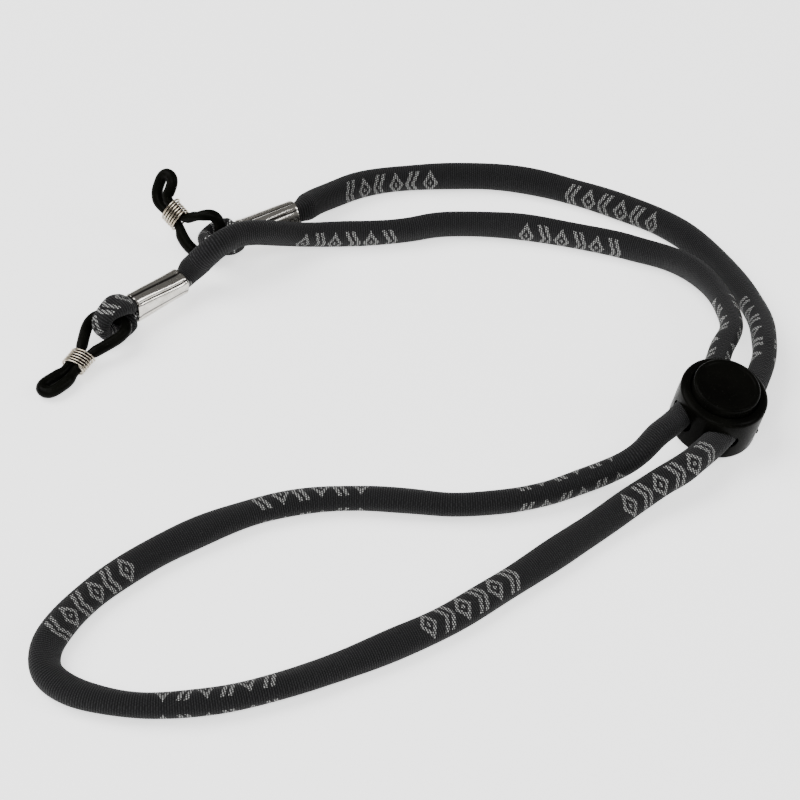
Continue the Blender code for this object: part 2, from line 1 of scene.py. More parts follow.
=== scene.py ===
"""Looks of the eyeglass retainer strap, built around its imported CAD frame.  Metres, +Z up.

Sizes are in mm and angles in degrees, unless they say otherwise, until skin() and lathe() make
meshes of them.
"""
import math

import bmesh
import bpy
import numpy as np
from mathutils import Matrix, Vector


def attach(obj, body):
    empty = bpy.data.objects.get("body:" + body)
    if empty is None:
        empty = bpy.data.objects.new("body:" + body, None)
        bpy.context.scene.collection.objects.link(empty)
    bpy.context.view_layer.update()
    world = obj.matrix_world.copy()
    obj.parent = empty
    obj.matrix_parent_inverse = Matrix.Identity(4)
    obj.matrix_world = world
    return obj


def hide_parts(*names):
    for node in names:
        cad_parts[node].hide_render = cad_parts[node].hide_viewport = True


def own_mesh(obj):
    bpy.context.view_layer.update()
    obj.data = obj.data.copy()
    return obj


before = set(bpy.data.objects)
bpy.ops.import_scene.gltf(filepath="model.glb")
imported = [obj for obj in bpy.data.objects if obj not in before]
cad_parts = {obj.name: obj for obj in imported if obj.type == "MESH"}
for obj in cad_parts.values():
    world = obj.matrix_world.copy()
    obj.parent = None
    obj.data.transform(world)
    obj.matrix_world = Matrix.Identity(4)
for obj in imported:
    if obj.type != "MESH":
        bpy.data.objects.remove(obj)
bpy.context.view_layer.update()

MM = 0.001

# --- the same as in the part ---
ORIGIN_SHIFT = Vector((-0.8, 0.9, 0.0))
LOCK_PLACE = (64.7, -27.9, 1.70)
LOCK_TILT_RIGHT = 10.0
LOCK_TILT_FORWARD = 7.0
LOCK_HEADING = 60.4
LOCK_RADIUS = 9.0
LOCK_RIM_HEIGHT = 10.2
LOCK_BORE = 7.15
LOCK_FLOOR = 0.8
HOLE_OFFSET = 4.4
HOLE_HEIGHT = 5.85
HOLE_HALF_WIDTH = 3.1
HOLE_HALF_HEIGHT = 2.75
BEND_RADIUS = 62.0           # of the bend that both strands share at the lock
ARC_HALF = 15.0
BUTTON_RADIUS = 6.85
BUTTON_TOP = 13.0
BUTTON_TRAVEL = 1.6
BUTTON_BOTTOM = 2.5
BAR_THICKNESS = 0.6
BOSS_RADIUS = 1.6
SPRING_BORE = 1.15
SPRING_SEAT = 9.6
SPRING_RADIUS = 0.8
SPRING_WIRE = 0.15
SPRING_TURNS = 9
FERRULE_LENGTH = 13.1
FERRULE_EYE_END = (2.45, 3.3)            # half sizes along the end's Y and Z
FERRULE_CORD_END = (2.85, 2.5)
EYE_REACH = 8.4
EYE_HALF_HEIGHT = 3.2
EYE_LEG = 1.35
EYE_IN_FERRULE = 5.0
RUBBER_RADIUS = 1.25
WAIST_RADIUS = 1.0
WAIST_HALF = 1.12
TEMPLE_HALF = 1.55
TEMPLE_REACH = 8.1
COIL_LENGTH = 4.5
COIL_TRAVEL = 1.0
COIL_TURNS = 6
COIL_WIRE = 0.28
COIL_HALF_WIDTH = 2.68
COIL_HALF_HEIGHT = 1.6
# Each bend of a rubber loop is (start, length, rise, swing), with the rise in the ring's own plane.
END_A = dict(place=(-54.5, 0.6, 4.85), azimuth=-136.0, roll=0.0, hole=(4.5, -0.2),
             rubber_azimuth=-121.0, rubber_slope=-9.3, rubber_roll=5.0, lobe=11.0, lobe_half=4.25,
             hump=0.0, bends=((16.5, 3.0, -15.0, -6.5),))
# This hump is 1.0 in the part, where a fuller one would meet the coil.
END_B = dict(place=(-33.15, 25.0, 5.75), azimuth=-150.0, roll=110.0, hole=(4.85, 0.4),
             rubber_azimuth=175.7, rubber_slope=2.9, rubber_roll=108.6, lobe=9.3, lobe_half=4.8,
             hump=1.15, bends=((3.4, 4.6, 30.5, -31.0), (14.8, 3.2, 70.0, -8.0)))
# The cord from ferrule a to the lock, round the neck loop, and from the lock back to ferrule b.
ROUTE_A = [(-42.5, 12.7, 6.5), (-40.5, 13.3, 8.5), (-37.8, 14.3, 10.3), (-34.6, 16.6, 11.0),
           (-31.6, 18.6, 10.7), (-27.8, 20.9, 9.2), (-23.4, 23.9, 6.5), (-18.8, 26.2, 4.3),
           (-13.8, 27.7, 3.0),
           (-6.0, 28.4, 2.8), (3.0, 30.0, 2.8), (9.0, 31.7, 2.8), (16.0, 32.3, 2.8),
           (24.0, 31.9, 2.8), (33.0, 30.4, 2.8), (42.0, 28.2, 2.8), (51.0, 25.3, 2.8),
           (58.7, 21.6, 3.3), (63.8, 16.4, 4.4), (67.5, 9.4, 5.8), (69.4, 1.6, 7.3),
           (69.9, -6.1, 8.5)]
ROUTE_LOOP = [(48.8, -42.5, 7.2), (43.6, -44.7, 5.0), (37.0, -46.9, 3.3), (30.4, -49.6, 2.8),
              (23.6, -51.6, 2.8), (13.0, -52.8, 2.8), (4.0, -52.1, 2.8), (-5.0, -51.5, 2.8),
              (-14.0, -52.0, 2.8), (-23.0, -54.2, 2.8), (-32.0, -58.4, 2.8), (-41.5, -64.7, 2.8),
              (-49.3, -71.3, 2.8), (-55.8, -78.2, 2.8), (-60.6, -85.6, 2.8), (-63.0, -92.2, 2.8),
              (-62.2, -97.6, 2.8), (-58.2, -101.4, 2.8), (-51.6, -104.0, 2.8), (-43.0, -105.2, 2.8),
              (-31.0, -103.8, 2.8), (-19.0, -99.8, 2.8), (-9.4, -95.2, 2.8), (1.1, -89.5, 2.8),
              (11.5, -82.9, 2.8), (21.4, -74.7, 2.8), (31.5, -66.0, 2.8), (41.4, -57.2, 3.0),
              (48.0, -51.8, 4.2), (53.2, -48.3, 5.7)]
ROUTE_B = [(76.6, -8.3, 7.1), (76.5, -1.6, 6.2), (75.0, 6.2, 4.9), (72.3, 14.4, 3.7),
           (68.6, 22.1, 3.0), (63.8, 28.5, 2.8), (57.6, 34.2, 2.8), (49.6, 38.9, 2.8),
           (41.6, 43.0, 2.8), (32.3, 46.5, 2.8), (22.0, 48.6, 2.8), (11.0, 48.5, 2.8),
           (2.0, 47.7, 2.8), (-2.9, 46.7, 2.8), (-8.6, 44.5, 2.9), (-13.9, 40.5, 3.5),
           (-17.6, 36.9, 4.4)]

# --- ferrules ---
FERRULE_SIDES = 192
FERRULE_STATIONS = 44
FERRULE_WALL = 0.35
FERRULE_MEAN_RADIUS = 2.6
FERRULE_SQUARENESS = 2.6
FLUTES = 7
FLUTE_START = math.radians(90.0 - 180.0 / FLUTES)
FLUTE_DEPTH = 0.26
FLUTE_AT_LIP = 0.35          # share of its depth that a flute has at a lip
LIP_HEIGHT = 0.05
LIP_LENGTH = 0.45
LIP_ROUNDING = 0.11
LIP_ROUNDED = 0.16           # length over which the rounding acts

# --- rubber loops and coils ---
BEND_STEPS = 16
RUBBER_STEP = 0.3
RUBBER_SMOOTHING = 8
RUBBER_SIDES = 28
RUBBER_SEAM = 0.045
WAIST_TAPER = 1.8
HUMP_MIDDLE = 0.74           # share of the lobe; 0.64 and 0.22 in the part
HUMP_HALF = 0.24
COIL_PER_TURN = 44
COIL_WIRE_SEEN = 0.215       # thinner than the part's, so that the gaps between the turns show
COIL_WIRE_SIDES = 12
# Size of each slow unevenness of the coil's turns, and how quickly it comes round.
COIL_UNEVEN = ((0.04, 2.7), (0.02, 7.1))
COIL_TAILS = (3, 6)          # steps of wire past the first and the last turn
COIL_TAIL_RISES = (0.07, 0.09)
WIRE_END = 0.72              # share of its thickness that a wire has at its cut ends

# --- cord lock ---
CUP_CORNER = 1.2
CUP_BULGE = 0.03
CUP_BEVEL = 0.22
SHOULDER_RISE = 0.9
RIM_LAND = 0.3               # flat stretch between the shoulder and the bore
RIM_EDGE = 0.16
RIM_EDGE_RISE = 0.72
CUP_SEGMENTS = 144
GATE_ANGLE = math.radians(8.0)           # the stub left where the mould was filled
GATE_HEIGHT = 4.0
GATE_HALF_WIDTH = 0.55
GATE_HALF_HEIGHT = 0.75
GATE_SUNK = 0.28
CHANNEL_SIDES = 16           # of each rounded half of a strand's hole
CHANNEL_STEPS = 24
CHANNEL_HALF = 12.0
BUTTON_FOOT = 0.2
BUTTON_EDGE = 0.62
BUTTON_STRAIGHT = 10.6       # height up to which its side is straight
# The raised edge and dish of the head: distance in from its side, distance below its top.
BUTTON_DISH = ((0.86, 0.0), (1.0, 0.06), (1.14, 0.17), (1.6, 0.21))
BUTTON_SEGMENTS = 128
BUTTON_BEVEL = 0.10
SPRING_GAP = 0.3
SPRING_PER_TURN = 32
SPRING_WIRE_SIDES = 10
BEVEL_ANGLE = 42.0
SHARP_ANGLE = 38.0

# --- the cord's own ends, folded into eyes ---
EYE_SIDES = 44
EYE_SMOOTHING = 6
EYE_SQUARENESS = 2.5
EYE_AT_LIP = (1.85, 1.3)     # half width and half thickness where it leaves the ferrule
EYE_SWELL = (1.22, 0.12)     # added outside the ferrule
EYE_SWELL_START = 0.15
EYE_SWELL_LENGTH = 1.6
EYE_TIP_SLIMMER = 0.85
EYE_HIDDEN_SLIMMER = (0.1, 0.35)
EYE_CREASE_DEPTH = 0.10
EYE_CREASE_HALF = 0.8
EYE_RIB_HEIGHT = 0.016
EYE_MARK_STRETCH = 1.05
# Where the pattern starts along each eye, and how far it lies to one side.
EYE_PATTERNS = {"a": (5.5, -0.9), "b": (4.0, 0.6)}

# --- the woven cord ---
CORD_DIAMETER = 5.5
CORD_HALF_WIDTH = 3.0        # across its flat faces
CORD_HALF_DEPTH = 2.42
CORD_IN_LOCK = (2.72, 2.48)  # half width and half depth
CORD_LEAN_IN_LOCK = 0.25     # each strand lies against the left of its hole
CORD_IN_FERRULE = (2.2, 1.72)            # half sizes along the end's Y and Z
CORD_FLOOR_GAP = 0.1
CORD_INSIDE = 3.0            # length hidden in each ferrule
CORD_SIDES = 34
CORD_SQUARENESS = 2.25
CORD_SMOOTHING = 24
CORD_PATH_EVERY = 8          # rings between the points of the cord's stated path
LOCK_HOLD = 15.0             # distance from the lock's axis within which it shapes the cord
LOCK_HOLD_FADE = 6.0
FERRULE_GRIP = 0.2           # the same for a ferrule, from its mouth
FERRULE_GRIP_FADE = 4.0
# Slight swellings along the cord: size as a share, length over a turn of 1 radian, phase.
SWELLS = ((0.019, 3.1, 0.0), (0.022, 6.3, 1.0))
SWELL_IN_DEPTH = 0.7
RIB = 0.47                   # pitch of the crosswise ribs
RIB_HEIGHT = 0.018           # above and below the mean surface
SPAN_POINTS = 16             # of the smooth curve, between two points of the route
STITCH = 0.48                # pitch of the stitches round the cord
# Where each woven block starts along the cord, and its length.
BLOCK_STARTS = (-22.2, 30.8, 81.3, 136.0, 192.3, 243.8, 294.8, 348.3, 400.4, 450.8, 500.8, 557.0,
                609.7, 660.7)
BLOCK_LENGTH = 23.6
BLOCK_PERIOD = 52.0
BLOCK_EDGE = 0.25
MARKS_IN_BLOCK = 6
MARK_HALF_WIDTH = 3.1        # measured round the cord
DIAMOND_HALF_LENGTH = 1.8
DIAMOND_HALF_WIDTH = 3.2
DIAMOND_RIM = 0.56           # share of the diamond inside its outline
DIAMOND_DOT = 0.24
CHEVRON_SLOPE = 0.42
CHEVRON_MIDDLES = (1.50, 0.10)
CHEVRON_HALF = 0.42
CHEVRON_REACH = 1.7
# Turn of the patterned faces about the cord (distance, degrees from LANE_VIEW).
LANE_VIEW = Vector((0.0, -0.724, 0.690))
LANE_TURNS = ((0, 62), (52, 60), (80, 50), (104, 50), (121, 70), (136, 94), (160, 96), (190, 100),
              (214, 98), (242, 82), (266, 62), (292, 2), (317, -12), (346, -86), (370, -76),
              (398, -26), (421, -22), (449, 8), (474, 6), (499, -84), (522, -76), (553, -38),
              (580, -34), (607, -40), (650, -42))

# --- stage, in metres and watts ---
CAMERA_PLACE = (0.0010, -0.4300, 0.3908)
CAMERA_DOWN = 43.6
CAMERA_ROLL = 1.06
CAMERA_LENS = 124.57
CAMERA_SENSOR = 36.0
FLOOR_HALF = 6.0
LAMP_AIM = Vector((0, -0.02, 0))
# Name, place, (width, height), power.
LAMPS = (("key", (-0.75, 0.10, 1.05), (1.1, 1.1), 26.0),
         ("front", (-0.10, -0.85, 0.95), (0.7, 0.5), 9.0),
         ("edge", (0.95, -0.20, 0.70), (0.25, 0.6), 5.0))

# --- geometry helpers ---


def vec(point):
    """A place in the part's frame from one in the layout's."""
    return Vector(point) + ORIGIN_SHIFT


def heading(azimuth, slope, roll):
    """Turns +X to an azimuth, up a slope, and rolls about it."""
    return (Matrix.Rotation(math.radians(azimuth), 4, "Z")
            @ Matrix.Rotation(math.radians(-slope), 4, "Y")
            @ Matrix.Rotation(math.radians(roll), 4, "X"))


def smooth_curve(points, per_span):
    """A dense centripetal Catmull-Rom curve through the points."""
    padded = [points[0] * 2 - points[1]] + list(points) + [points[-1] * 2 - points[-2]]
    dense = []
    for i in range(1, len(padded) - 2):
        p0, p1, p2, p3 = padded[i - 1:i + 3]
        t0 = 0.0
        t1 = t0 + (p1 - p0).length ** 0.5
        t2 = t1 + (p2 - p1).length ** 0.5
        t3 = t2 + (p3 - p2).length ** 0.5
        for k in range(per_span):
            t = t1 + (t2 - t1) * k / per_span
            a1 = p0 * ((t1 - t) / (t1 - t0)) + p1 * ((t - t0) / (t1 - t0))
            a2 = p1 * ((t2 - t) / (t2 - t1)) + p2 * ((t - t1) / (t2 - t1))
            a3 = p2 * ((t3 - t) / (t3 - t2)) + p3 * ((t - t2) / (t3 - t2))
            b1 = a1 * ((t2 - t) / (t2 - t0)) + a2 * ((t - t0) / (t2 - t0))
            b2 = a2 * ((t3 - t) / (t3 - t1)) + a3 * ((t - t1) / (t3 - t1))
            dense.append(b1 * ((t2 - t) / (t2 - t1)) + b2 * ((t - t1) / (t2 - t1)))
    dense.append(points[-1].copy())
    return dense


def evenly(dense, step):
    """Points at even steps of about the given length along a dense line."""
    lengths = [0.0]
    for a, b in zip(dense, dense[1:]):
        lengths.append(lengths[-1] + (b - a).length)
    count = max(2, round(lengths[-1] / step))
    points = []
    i = 0
    for k in range(count + 1):
        target = lengths[-1] * k / count
        while i < len(dense) - 2 and lengths[i + 1] < target:
            i += 1
        share = (target - lengths[i]) / (lengths[i + 1] - lengths[i])
        points.append(dense[i].lerp(dense[i + 1], share))
    return points


def smoothed(points, passes):
    """Averages a closely spaced line with its neighbours, its ends held."""
    array = np.array([list(p) for p in points])
    for _ in range(passes):
        array[1:-1] = (array[:-2] + 2 * array[1:-1] + array[2:]) / 4
    return [Vector(p) for p in array]


def tangent_at(line, i):
    return (line[min(i + 1, len(line) - 1)] - line[max(i - 1, 0)]).normalized()


def ease(value):
    """Rises smoothly from 0 to 1 as the value does, and stays there beyond them."""
    value = min(max(value, 0.0), 1.0)
    return value * value * (3 - 2 * value)


def between(x, knots):
    """Smoothly follows the (x, value) knots."""
    for (x0, v0), (x1, v1) in zip(knots, knots[1:]):
        if x <= x1:
            return v0 + (v1 - v0) * ease((x - x0) / (x1 - x0))
    return knots[-1][1]


def superellipse(half_u, half_v, angle, power):
    """Point of a rounded box section at an angle, as (u, v)."""
    c, s = math.cos(angle), math.sin(angle)
    return (half_u * math.copysign(abs(c) ** (2 / power), c),
            half_v * math.copysign(abs(s) ** (2 / power), s))


def radius_towards(half_u, half_v, cosine, sine, power):
    """Distance from the middle to the edge of a superellipse in a direction."""
    return (abs(cosine / half_u) ** power + abs(sine / half_v) ** power) ** (-1 / power)


def skin(name, rings, closed=False):
    """A mesh in metres from rings of points in mm, capped at both ends or joined end to end."""
    count, sides = len(rings), len(rings[0])
    verts = [Vector(p) * MM for ring in rings for p in ring]
    faces = []
    for i in range(count if closed else count - 1):
        a, b = i * sides, ((i + 1) % count) * sides
        for k in range(sides):
            m = (k + 1) % sides
            faces.append((a + k, a + m, b + m, b + k))
    if not closed:
        faces.append(tuple(reversed(range(sides))))
        faces.append(tuple(range((count - 1) * sides, count * sides)))
    mesh = bpy.data.meshes.new(name)
    mesh.from_pydata(verts, [], faces)
    mesh.validate()
    return mesh


def outward(mesh, sharp=None):
    """Points the faces out and shades them smooth, apart from edges over the sharp angle."""
    build = bmesh.new()
    build.from_mesh(mesh)
    bmesh.ops.recalc_face_normals(build, faces=build.faces)
    build.to_mesh(mesh)
    build.free()
    mesh.shade_smooth()
    if sharp is not None:
        mesh.set_sharp_from_angle(angle=math.radians(sharp))
    return mesh


def add_object(name, data):
    item = bpy.data.objects.new(name, data)
    bpy.context.scene.collection.objects.link(item)
    return item


def piece(name, mesh, material, body, nodes):
    """A visible piece on its body, in place of the frame's nodes."""
    item = add_object(name, mesh)
    mesh.materials.clear()
    mesh.materials.append(material)
    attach(item, body)
    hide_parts(*nodes)
    return item


def set_attribute(mesh, name, values):
    """Stores three values at each point, for the materials to read."""
    attribute = mesh.attributes.new(name, "FLOAT_VECTOR", "POINT")
    attribute.data.foreach_set("vector", np.array(values, np.float32).ravel())


# --- frames of the lock, of each end of the strap and of its rubber ---


def lock_frame():
    """Origin under the lock; X across its two holes, Y along them and Z up its axis."""
    axis = Vector((math.tan(math.radians(LOCK_TILT_RIGHT)),
                   -math.tan(math.radians(LOCK_TILT_FORWARD)), 1.0)).normalized()
    azimuth = math.radians(LOCK_HEADING)
    back = Vector((math.cos(azimuth), math.sin(azimuth), 0.0))
    back = (back - axis * back.dot(axis)).normalized()
    across = back.cross(axis)
    return Matrix.Translation(vec(LOCK_PLACE)) @ Matrix((across, back, axis)).transposed().to_4x4()


def end_frame(end):
    """Origin at the ferrule's mouth on the eye's side, X out through the eye."""
    return Matrix.Translation(vec(end["place"])) @ heading(end["azimuth"], 0.0, end["roll"])


def rubber_frame(end):
    """Origin where the rubber hangs in the eye's hole, X towards the temple loop."""
    pivot = end_frame(end) @ Vector((*end["hole"], 0))
    return Matrix.Translation(pivot) @ heading(end["rubber_azimuth"], end["rubber_slope"],
                                               end["rubber_roll"])


def spine(reach, bends):
    """Frame at a reach along a rubber loop's middle line, which turns at each bend."""
    place = Matrix.Identity(4)
    reached = 0.0
    for start, length, rise, swing in bends:
        if reach <= start:
            break
        share = min(1.0, (reach - start) / length) / BEND_STEPS
        small = (Matrix.Translation((length * share, 0, 0))
                 @ Matrix.Rotation(math.radians(rise) * share, 4, "Z")
                 @ Matrix.Rotation(math.radians(swing) * share, 4, "Y"))
        place = place @ Matrix.Translation((start - reached, 0, 0))
        for _ in range(BEND_STEPS):
            place = place @ small
        reached = start + length * share * BEND_STEPS
    return place @ Matrix.Translation((reach - reached, 0, 0))


def strand_arc(side, half_angle, steps, height=HOLE_HEIGHT):
    """A strand's arc through the lock, in the lock's frame; side is -1 or 1."""
    radius = BEND_RADIUS + side * HOLE_OFFSET
    points = []
    for k in range(steps + 1):
        angle = math.radians(half_angle * (1 - 2 * k / steps))
        points.append(Vector((radius * math.cos(angle) - BEND_RADIUS, radius * math.sin(angle),
                              height)))
    return points


LOCK = lock_frame()
ENDS = (("a", END_A), ("b", END_B))

# --- material helpers ---


class Nodes:
    """A material's node tree, with short names for the nodes that the materials below use."""

    def __init__(self, name):
        self.material = bpy.data.materials.new(name)
        self.material.use_nodes = True
        self.tree = self.material.node_tree
        self.shader = self.tree.nodes["Principled BSDF"]

    def add(self, kind, **values):
        node = self.tree.nodes.new(kind)
        for key, value in values.items():
            setattr(node, key, value)
        return node

    def plug(self, value, socket):
        if isinstance(value, (int, float, tuple)):
            socket.default_value = value
        else:
            self.tree.links.new(value, socket)

    def maths(self, operation, a, b=None):
        node = self.add("ShaderNodeMath", operation=operation)
        for value, socket in zip((a, b), node.inputs):
            if value is not None:
                self.plug(value, socket)
        return node.outputs[0]

    def times(self, a, b):
        return self.maths("MULTIPLY", a, b)

    def plus(self, a, b):
        return self.maths("ADD", a, b)

    def minus(self, a, b):
        return self.maths("SUBTRACT", a, b)

    def wave(self, operation, value, pitch):
        """A wave between 0 and 1 that comes round at every pitch."""
        turns = self.maths(operation, self.times(value, math.tau / pitch))
        return self.plus(self.times(turns, 0.5), 0.5)

    def spread(self, value, low, high, to_low=0.0, to_high=1.0):
        """Eases the values between low and high to those between to_low and to_high."""
        node = self.add("ShaderNodeMapRange", interpolation_type="SMOOTHSTEP")
        self.plug(value, node.inputs["Value"])
        self.plug(low, node.inputs["From Min"])
        self.plug(high, node.inputs["From Max"])
        self.plug(to_low, node.inputs["To Min"])
        self.plug(to_high, node.inputs["To Max"])
        return node.outputs["Result"]

    def mix(self, factor, a, b):
        node = self.add("ShaderNodeMix", data_type="RGBA")
        self.plug(factor, node.inputs["Factor"])
        self.plug(a, node.inputs[6])
        self.plug(b, node.inputs[7])
        return node.outputs[2]

    def noise(self, scale, detail, vector=None, stretch=None):
        if vector is None:
            vector = self.add("ShaderNodeTexCoord").outputs["Object"]
        if stretch is not None:
            mapping = self.add("ShaderNodeMapping")
            self.plug(vector, mapping.inputs["Vector"])
            mapping.inputs["Scale"].default_value = stretch
            vector = mapping.outputs["Vector"]
        node = self.add("ShaderNodeTexNoise")
        self.plug(vector, node.inputs["Vector"])
        node.inputs["Scale"].default_value = scale
        node.inputs["Detail"].default_value = detail
        return node.outputs["Fac"]

    def attribute(self, name):
        """The three values that set_attribute stored at each point."""
        node = self.add("ShaderNodeAttribute", attribute_name=name)
        split = self.add("ShaderNodeSeparateXYZ")
        self.plug(node.outputs["Vector"], split.inputs[0])
        return split.outputs

    def combine(self, x, y):
        node = self.add("ShaderNodeCombineXYZ")
        self.plug(x, node.inputs[0])
        self.plug(y, node.inputs[1])
        return node.outputs[0]

    def bump(self, height, distance, strength, under=None):
        node = self.add("ShaderNodeBump")
        self.plug(height, node.inputs["Height"])
        node.inputs["Distance"].default_value = distance
        node.inputs["Strength"].default_value = strength
        if under is not None:
            self.plug(under, node.inputs["Normal"])
        return node.outputs["Normal"]

    def finish(self, colour, roughness, normal=None, **fixed):
        for value, name in ((colour, "Base Color"), (roughness, "Roughness"), (normal, "Normal")):
            if value is not None:
                self.plug(value, self.shader.inputs[name])
        for key, value in fixed.items():
            self.shader.inputs[key.replace("_", " ")].default_value = value
        return self.material


def woven_marks(n, across, motif, thread):
    """The light pattern: along each block, a diamond and a pair of nested chevrons by turns."""
    place = n.maths("FLOORED_MODULO", motif, BLOCK_PERIOD)
    inside = n.times(n.maths("GREATER_THAN", place, BLOCK_EDGE),
                     n.maths("LESS_THAN", place, BLOCK_LENGTH - BLOCK_EDGE))
    pitch = BLOCK_LENGTH / MARKS_IN_BLOCK
    cell = n.maths("DIVIDE", place, pitch)
    number = n.maths("FLOOR", cell)
    local = n.times(n.minus(n.minus(cell, number), 0.5), pitch)
    width = n.maths("ABSOLUTE", across)
    ring = n.plus(n.maths("DIVIDE", n.maths("ABSOLUTE", local), DIAMOND_HALF_LENGTH),
                  n.maths("DIVIDE", width, DIAMOND_HALF_WIDTH))
    diamond = n.times(n.maths("LESS_THAN", ring, 1.0), n.maths("GREATER_THAN", ring, DIAMOND_RIM))
    diamond = n.maths("MAXIMUM", diamond, n.maths("LESS_THAN", ring, DIAMOND_DOT))
    slant = n.plus(local, n.times(width, CHEVRON_SLOPE))
    strokes = [n.maths("LESS_THAN", n.maths("ABSOLUTE", n.minus(slant, middle)), CHEVRON_HALF)
               for middle in CHEVRON_MIDDLES]
    chevrons = n.times(n.maths("MAXIMUM", *strokes),
                       n.maths("LESS_THAN", width, MARK_HALF_WIDTH))
    chevrons = n.times(chevrons, n.maths("LESS_THAN", n.maths("ABSOLUTE", local), CHEVRON_REACH))
    even = n.maths("LESS_THAN", n.maths("FLOORED_MODULO", n.plus(number, 0.5), 2.0), 1.0)
    mark = n.plus(n.times(diamond, even), n.times(chevrons, n.minus(1.0, even)))
    mark = n.times(mark, inside)
    return n.times(mark, n.spread(thread, 0.16, 0.44, 0.03, 1.0))


def make_weave():
    """Charcoal polyester: crosswise ribs of small stitches, with painted shade between them, and
    the light pattern's marks.
    """
    n = Nodes("charcoal_weave")
    along, across, motif = n.attribute("weave")
    wander = n.noise(260.0, 3.0)
    along = n.plus(along, n.times(n.minus(wander, 0.5), 0.10))
    row = n.maths("FLOOR", n.maths("DIVIDE", along, RIB))
    rib = n.wave("SINE", along, RIB)
    stitch = n.wave("COSINE", n.plus(across, n.times(row, STITCH / 2)), STITCH)
    height = n.times(rib, n.plus(n.times(stitch, 0.5), 0.5))
    mark = woven_marks(n, across, motif, n.times(rib, stitch))
    shade = n.noise(90.0, 5.0)
    fleck = n.noise(2600.0, 2.0)
    dark = n.mix(n.spread(shade, 0.3, 0.7), (0.0035, 0.0035, 0.0037, 1),
                 (0.0055, 0.0055, 0.0057, 1))
    # Painted shade: the colour is darker down between the ribs and stitches and lighter on the
    # raised threads.
    dark = n.mix(n.times(n.spread(height, 0.1, 0.9), 0.75), dark, (0.024, 0.024, 0.025, 1))
    dark = n.mix(n.times(n.spread(fleck, 0.55, 0.8), 0.25), dark, (0.040, 0.040, 0.041, 1))
    light = n.mix(n.spread(fleck, 0.3, 0.7), (0.28, 0.28, 0.275, 1), (0.44, 0.44, 0.43, 1))
    colour = n.mix(mark, dark, light)
    rough = n.spread(shade, 0.3, 0.7, 0.74, 0.88)
    soft = n.bump(fleck, 0.00003, 0.5)
    normal = n.bump(n.plus(height, n.times(mark, 0.25)), 0.00016, 1.0, soft)
    return n.finish(colour, rough, normal, Sheen_Weight=0.05, Sheen_Roughness=0.5,
                    Specular_IOR_Level=0.3, IOR=1.2)


def make_nickel():
    """Bright plating: lengthwise drawing marks, faint tarnish, and painted shade down in the
    flutes' creases.
    """
    n = Nodes("nickel_plate")
    along, around, crease = n.attribute("shell")
    line = n.noise(1.0, 3.0, n.combine(along, around), (0.06, 9.0, 1.0))
    fine = n.noise(1.0, 2.0, n.combine(along, around), (0.5, 42.0, 1.0))
    blotch = n.noise(420.0, 4.0)
    colour = n.mix(n.spread(blotch, 0.35, 0.75), (0.58, 0.56, 0.52, 1), (0.43, 0.41, 0.37, 1))
    colour = n.mix(n.times(n.spread(line, 0.5, 0.7), 0.35), colour, (0.31, 0.295, 0.27, 1))
    # Painted shade: the colour darkens to near black down in each flute's crease.
    colour = n.mix(n.spread(crease, 0.45, 0.95), colour, (0.035, 0.032, 0.028, 1))
    rough = n.plus(n.spread(fine, 0.3, 0.7, 0.13, 0.24), n.spread(blotch, 0.4, 0.8, 0.0, 0.10))
    normal = n.bump(line, 0.00004, 0.30, n.bump(fine, 0.00001, 0.30))
    return n.finish(colour, rough, normal, Metallic=1.0)


def make_wire():
    """Coil wire: bright, with a faint gold cast in patches and a fine grain."""
    n = Nodes("coil_wire_metal")
    patch = n.noise(900.0, 4.0)
    fine = n.noise(5200.0, 2.0)
    colour = n.mix(n.spread(patch, 0.3, 0.75), (0.42, 0.385, 0.32, 1), (0.31, 0.26, 0.19, 1))
    rough = n.spread(fine, 0.3, 0.7, 0.14, 0.27)
    normal = n.bump(fine, 0.00001, 0.4)
    return n.finish(colour, rough, normal, Metallic=1.0)


def make_spring_steel():
    """Plain drawn steel wire."""
    n = Nodes("spring_steel_wire")
    fine = n.noise(6000.0, 2.0)
    colour = n.mix(n.spread(fine, 0.3, 0.7), (0.50, 0.50, 0.51, 1), (0.36, 0.36, 0.37, 1))
    return n.finish(colour, n.spread(fine, 0.3, 0.7, 0.24, 0.36), n.bump(fine, 0.00001, 0.4),
                    Metallic=1.0)


def make_rubber():
    """Moulded black rubber: satin, clouded, a little dusty."""
    n = Nodes("moulded_rubber")
    cloud = n.noise(300.0, 4.0)
    grain = n.noise(3800.0, 3.0)
    dust = n.noise(7000.0, 1.0)
    colour = n.mix(n.spread(cloud, 0.3, 0.75), (0.0018, 0.0019, 0.0014, 1),
                   (0.0034, 0.0035, 0.0027, 1))
    colour = n.mix(n.times(n.spread(dust, 0.68, 0.78), 0.30), colour, (0.07, 0.07, 0.06, 1))
    rough = n.plus(n.spread(cloud, 0.3, 0.7, 0.27, 0.38), n.spread(dust, 0.68, 0.78, 0.0, 0.2))
    normal = n.bump(grain, 0.00003, 0.35)
    return n.finish(colour, rough, normal, Specular_IOR_Level=0.5, IOR=1.08)


def make_plastic():
    """Semi-gloss black moulding: fine scratches, faint flow unevenness and specks of dust."""
    n = Nodes("moulded_plastic")
    flow = n.noise(140.0, 3.0)
    scratches = [n.spread(n.noise(scale, 2.0, stretch=stretch), 0.60, 0.66)
                 for scale, stretch in ((520.0, (1.0, 9.0, 1.0)), (430.0, (8.0, 1.0, 3.0)))]
    marks = n.maths("MAXIMUM", *scratches)
    dust = n.noise(6200.0, 1.0)
    colour = n.mix(n.spread(flow, 0.3, 0.75), (0.0016, 0.0016, 0.0013, 1),
                   (0.0028, 0.0028, 0.0022, 1))
    colour = n.mix(n.times(n.spread(dust, 0.70, 0.78), 0.30), colour, (0.06, 0.06, 0.052, 1))
    rough = n.plus(n.spread(flow, 0.3, 0.7, 0.24, 0.33), n.times(marks, 0.09))
    normal = n.bump(flow, 0.00010, 0.25, n.bump(marks, 0.000004, 0.4))
    return n.finish(colour, rough, normal, Specular_IOR_Level=0.5, IOR=1.07)


